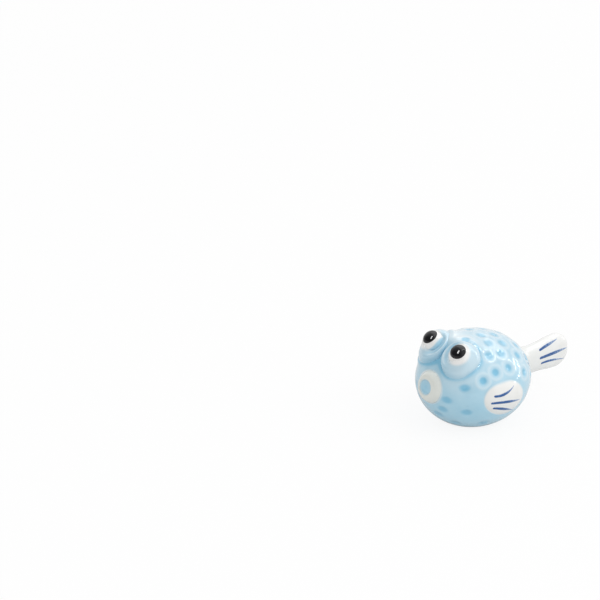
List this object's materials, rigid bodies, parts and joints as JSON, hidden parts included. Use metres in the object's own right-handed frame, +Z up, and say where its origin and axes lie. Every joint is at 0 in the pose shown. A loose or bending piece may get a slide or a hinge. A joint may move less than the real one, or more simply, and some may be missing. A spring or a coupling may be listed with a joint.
{
  "type": "chopstick rest",
  "caption": "Glazed porcelain chopstick rest in the form of a round puffer fish with raised eyes, a dimpled back and an upright paddle tail that carries the sticks.",
  "frame": {"origin": "centre of the flat foot under the body", "axes": "+Z up, -Y towards the mouth, +X the fish's left side"},
  "size_m": [0.0354, 0.06, 0.0296],
  "materials": {
    "blue_glaze": "glossy pale blue glaze, deeper blue where it pools",
    "white_glaze": "glossy warm white glaze",
    "black_enamel": "glossy black enamel, slightly raised",
    "cobalt_enamel": "brushed cobalt blue, thinning towards each stroke's tip"
  },
  "bodies": {
    "root": {"body_shell": "blue_glaze", "mouth_centre": "blue_glaze", "mouth_lips": "white_glaze", "tail_fin": "white_glaze", "left_eye_turret": "blue_glaze", "left_eyeball": "white_glaze", "left_pupil": "black_enamel", "left_pectoral_fin": "white_glaze", "left_fin_stroke_upper": "cobalt_enamel", "left_fin_stroke_middle": "cobalt_enamel", "left_fin_stroke_lower": "cobalt_enamel", "left_tail_stroke_upper": "cobalt_enamel", "left_tail_stroke_middle": "cobalt_enamel", "left_tail_stroke_lower": "cobalt_enamel", "right_eye_turret": "blue_glaze", "right_eyeball": "white_glaze", "right_pupil": "black_enamel", "right_pectoral_fin": "white_glaze", "right_fin_stroke_upper": "cobalt_enamel", "right_fin_stroke_middle": "cobalt_enamel", "right_fin_stroke_lower": "cobalt_enamel", "right_tail_stroke_upper": "cobalt_enamel", "right_tail_stroke_middle": "cobalt_enamel", "right_tail_stroke_lower": "cobalt_enamel"}
  },
  "joints": []
}
